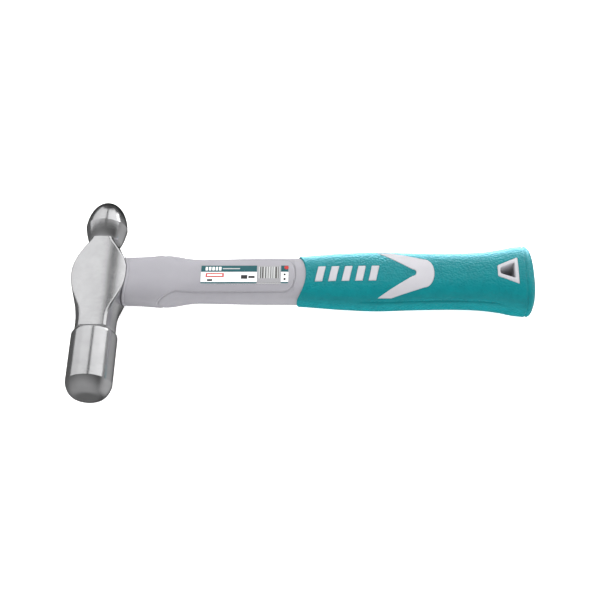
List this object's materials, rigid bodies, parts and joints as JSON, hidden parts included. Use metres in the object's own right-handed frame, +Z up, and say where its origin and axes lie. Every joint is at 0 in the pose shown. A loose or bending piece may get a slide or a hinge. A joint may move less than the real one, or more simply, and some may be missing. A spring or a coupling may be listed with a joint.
{
  "type": "ball peen hammer",
  "caption": "Ball peen hammer with a forged steel head bonded on a fibreglass core, a grey plastic jacket, a soft teal grip with light inlays and a hang hole.",
  "frame": {"origin": "middle of the underside of the bounding box, on the surface the hammer lies on", "axes": "+X along the handle from the head to the butt, +Y along the head from the poll to the ball peen, +Z up, out of the hammer's face"},
  "size_m": [0.2746, 0.132, 0.027],
  "materials": {
    "forged_steel": "ground and satin polished forged steel",
    "fibreglass": "pultruded glass fibre in resin",
    "eye_resin": "cast epoxy",
    "grey_plastic": "satin moulded plastic",
    "teal_rubber": "finely pebbled soft moulded rubber",
    "light_plastic": "satin moulded plastic",
    "printed_film": "printed self-adhesive film"
  },
  "bodies": {
    "root": {"hammer_head": "forged_steel", "fibreglass_core": "fibreglass", "eye_epoxy": "eye_resin", "handle_jacket": "grey_plastic", "grip_sleeve": "teal_rubber", "chevron_inlay_front": "light_plastic", "chevron_inlay_back": "light_plastic", "marking_inlay_front": "light_plastic", "marking_inlay_back": "light_plastic", "hang_hole_liner": "light_plastic", "product_label": "printed_film"}
  },
  "joints": []
}
